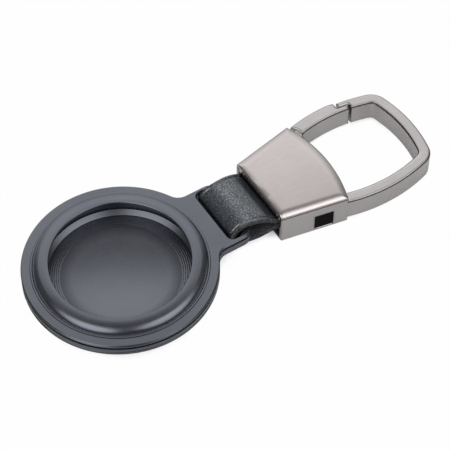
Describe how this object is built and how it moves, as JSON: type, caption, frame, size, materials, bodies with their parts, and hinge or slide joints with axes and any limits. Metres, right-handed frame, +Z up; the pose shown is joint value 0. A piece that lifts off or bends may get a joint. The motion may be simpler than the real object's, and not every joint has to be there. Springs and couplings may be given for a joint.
{
  "type": "tracker tag holder",
  "caption": "Round two-part case for a tracker tag, tied by a short leather strap to a trapezoid block with a snap hook and sprung gate.",
  "frame": {"origin": "middle of the holder's length and width, on the surface it lies on", "axes": "+X from the case towards the hook, +Y towards the gate, +Z up out of the case's open front"},
  "size_m": [0.0928, 0.0404, 0.0087],
  "materials": {
    "case_paint": "satin dark slate",
    "strap_leather": "grained black",
    "hook_metal": "satin warm grey plating",
    "core_plastic": "matt black",
    "pin_steel": "drawn wire"
  },
  "bodies": {
    "hook": {"hook_frame": "hook_metal", "block_cover": "hook_metal", "strap_core": "core_plastic", "strap_pin": "pin_steel", "strap": "strap_leather", "gate_pin": "pin_steel", "gate_spring": "pin_steel"},
    "case_rear": {"rear_shell": "case_paint"},
    "case_front": {"front_shell": "case_paint"},
    "gate": {"gate": "hook_metal"}
  },
  "joints": [
    {"name": "case_swing", "type": "hinge", "parent": "hook", "child": "case_rear", "pos_m": [0.00014, 0, 0.00553], "axis": [0, 1, 0], "range_deg": [-75, 75]},
    {"name": "front_open", "type": "hinge", "parent": "case_rear", "child": "case_front", "pos_m": [0.00124, 0, 0.00505], "axis": [0, 1, 0], "range_deg": [0, 18]},
    {"name": "gate_swing", "type": "hinge", "parent": "hook", "child": "gate", "pos_m": [0.02016, 0.0089, 0.0035], "axis": [0, 0, -1], "range_deg": [0, 25], "stiffness_Nm_per_rad": 0.05, "springref_deg": -20.05, "deforming": ["gate_spring"]}
  ]
}
